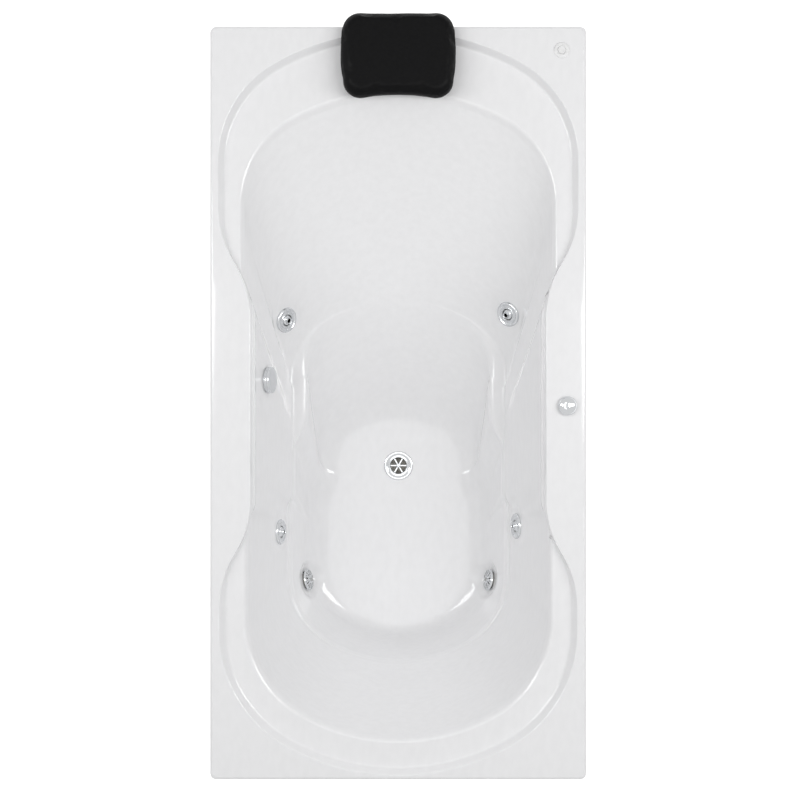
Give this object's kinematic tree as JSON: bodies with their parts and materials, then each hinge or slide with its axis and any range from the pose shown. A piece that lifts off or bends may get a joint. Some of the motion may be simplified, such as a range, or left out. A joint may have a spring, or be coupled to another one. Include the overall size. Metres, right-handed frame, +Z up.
{
  "type": "jetted bathtub",
  "caption": "Rectangular drop-in jetted bathtub with an hourglass well, sloped backrest, side ledges, aimable wall jets, rotary overflow, rim air controls, head pillow and pump.",
  "frame": {"origin": "floor of the room under the middle of the rim", "axes": "+Z up, +Y towards the head (pillow) end, +X to the side with the air control knob"},
  "size_m": [0.9144, 1.8552, 0.5798],
  "materials": {
    "acrylic": "glossy white cast acrylic",
    "plywood": "sealed plywood",
    "softwood": "sawn softwood",
    "chrome": "polished chrome plate",
    "white_abs": "moulded white ABS",
    "white_pvc": "white PVC",
    "rubber": "black rubber",
    "clear_hose": "translucent vinyl",
    "stainless": "stainless steel",
    "rotor_steel": "turned steel",
    "brass": "turned brass",
    "black_nylon": "glass-filled black nylon",
    "motor_paint": "black enamelled steel",
    "stator_iron": "laminated iron",
    "pillow_skin": "black skinned polyurethane foam",
    "cup_vinyl": "clear grey vinyl"
  },
  "bodies": {
    "tub": {"tub_shell": "acrylic", "base_board": "plywood", "base_runners": "softwood", "jet_bodies": "white_pvc", "jet_rings": "chrome", "jet_wall_fittings": "white_pvc", "jet_gaskets": "rubber", "suction_covers": "chrome", "suction_bodies": "white_pvc", "suction_gaskets": "rubber", "suction_screws": "stainless", "drain_strainer": "chrome", "drain_shoe": "white_pvc", "waste_pipe": "white_pvc", "waste_tee": "white_pvc", "overflow_riser": "white_pvc", "overflow_elbow": "white_pvc", "waste_gaskets": "rubber", "overflow_plate": "chrome", "tailpiece": "white_pvc", "slip_nuts": "white_pvc", "deck_sleeves": "white_abs", "air_bellows": "rubber", "deck_nuts": "white_abs", "pump_volute": "black_nylon", "pump_bracket": "black_nylon", "rear_plate": "motor_paint", "motor_shell": "motor_paint", "motor_stator": "stator_iron", "fan_cover": "black_nylon", "motor_saddle": "black_nylon", "switch_box": "black_nylon", "pump_bolts": "stainless", "suction_union": "black_nylon", "pump_pads": "rubber", "discharge_tee": "white_pvc", "water_feeds": "white_pvc", "water_pipes": "white_pvc", "air_pipes": "white_pvc", "air_tee": "white_pvc", "air_drop": "white_pvc", "suction_cross_pipe": "white_pvc", "suction_pipe": "white_pvc", "button_tube": "clear_hose"},
    "nozzle_head_left": {"jet_nozzle_head_left": "chrome"},
    "nozzle_head_right": {"jet_nozzle_head_right": "chrome"},
    "nozzle_foot_left": {"jet_nozzle_foot_left": "chrome"},
    "nozzle_foot_right": {"jet_nozzle_foot_right": "chrome"},
    "air_knob": {"air_control_knob": "chrome"},
    "button": {"air_button": "white_abs"},
    "rotor": {"pump_rotor": "rotor_steel"},
    "overflow_handle": {"overflow_knob": "chrome"},
    "lift_plug": {"plunger": "brass"},
    "pillow": {"pillow": "pillow_skin", "pillow_cups": "cup_vinyl"}
  },
  "joints": [
    {"name": "jet_tilt_head_left", "type": "hinge", "parent": "tub", "child": "nozzle_head_left", "pos_m": [-0.29456, 0.21507, 0.29846], "axis": [0.314, 0.9494, 0], "range_deg": [-15, 15]},
    {"name": "jet_tilt_foot_left", "type": "hinge", "parent": "tub", "child": "nozzle_foot_left", "pos_m": [-0.31141, -0.334, 0.30014], "axis": [0, 1, 0], "range_deg": [-15, 15]},
    {"name": "jet_tilt_head_right", "type": "hinge", "parent": "tub", "child": "nozzle_head_right", "pos_m": [0.28756, 0.23137, 0.29812], "axis": [0.4452, -0.8955, 0], "range_deg": [-15, 15]},
    {"name": "jet_tilt_foot_right", "type": "hinge", "parent": "tub", "child": "nozzle_foot_right", "pos_m": [0.31141, -0.318, 0.30014], "axis": [0, -1, 0], "range_deg": [-15, 15]},
    {"name": "air_knob_turn", "type": "hinge", "parent": "tub", "child": "air_knob", "pos_m": [0.41, -0.007, 0.5334], "axis": [0, 0, 1], "range_deg": [0, 180]},
    {"name": "air_button_press", "type": "slide", "parent": "tub", "child": "button", "axis": [0, 0, -1], "range_m": [0, 0.004], "stiffness_N_per_m": 600, "springref_m": -0.003},
    {"name": "pump_spin", "type": "hinge", "parent": "tub", "child": "rotor", "pos_m": [0, 0.6, 0.191], "axis": [1, 0, 0], "continuous": true},
    {"name": "overflow_turn", "type": "hinge", "parent": "tub", "child": "overflow_handle", "pos_m": [-0.32739, 0.057, 0.4338], "axis": [0.964, 0, 0.2661], "range_deg": [0, 120]},
    {"name": "plunger_lift", "type": "slide", "parent": "tub", "child": "lift_plug", "axis": [0, 0, 1], "range_m": [0, 0.024]},
    {"name": "pillow_lift_off", "type": "slide", "parent": "tub", "child": "pillow", "axis": [0, 0, 1], "range_m": [0, 0.06]}
  ],
  "couplings": [
    {"joint": "overflow_turn", "follows": "plunger_lift", "rad_per_m": 87.265}
  ]
}
